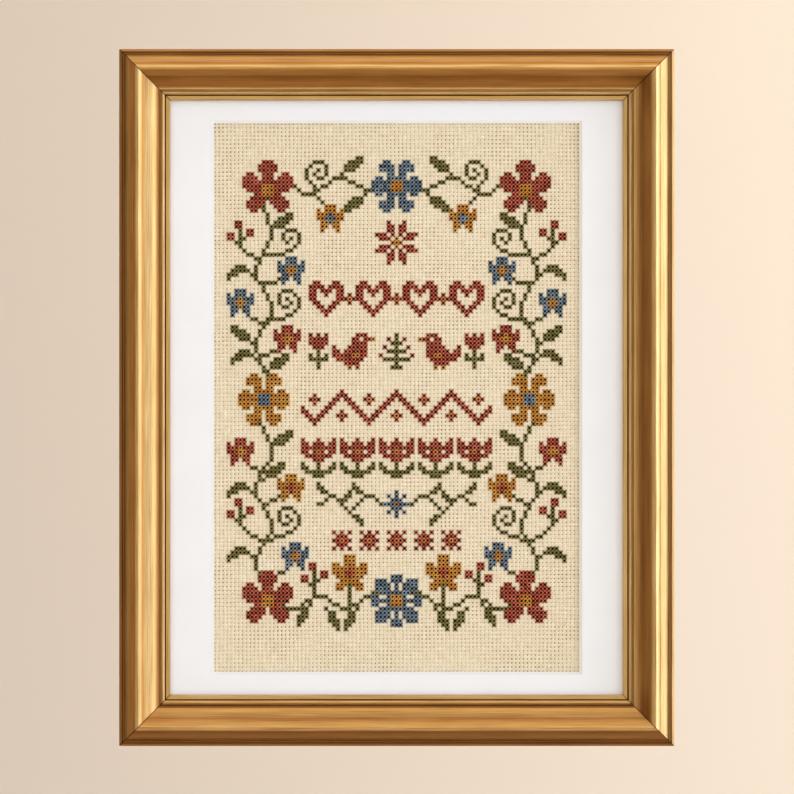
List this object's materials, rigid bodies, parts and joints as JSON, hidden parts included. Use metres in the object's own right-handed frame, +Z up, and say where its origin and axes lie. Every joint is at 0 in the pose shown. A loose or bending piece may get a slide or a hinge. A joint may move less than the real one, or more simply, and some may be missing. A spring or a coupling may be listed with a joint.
{
  "type": "framed cross stitch sampler",
  "caption": "Upright picture frame with a gilt moulding and a white window mat round a cream even-weave cloth stitched with a floral sampler.",
  "frame": {"origin": "middle of the top rail's back face, where the picture bears on the wall", "axes": "+X to the right as the picture is seen, +Z up, and the picture faces -Y with its back on the plane y = 0"},
  "size_m": [0.2532, 0.0184, 0.318],
  "materials": {
    "gilt_moulding": "brushed gold leaf finish on wood",
    "white_mat_card": "matte, smooth",
    "cream_cotton": "even-weave cotton with stranded cotton stitches",
    "backing_board": "plain, matte",
    "brick_red_thread": "stranded cotton",
    "steel_blue_thread": "stranded cotton",
    "ochre_thread": "stranded cotton",
    "olive_thread": "stranded cotton"
  },
  "bodies": {
    "root": {"bottom_rail": "gilt_moulding", "left_rail": "gilt_moulding", "top_rail": "gilt_moulding", "right_rail": "gilt_moulding", "window_mat": "white_mat_card", "stitched_cloth": "cream_cotton", "backing_board": "backing_board"}
  },
  "joints": []
}
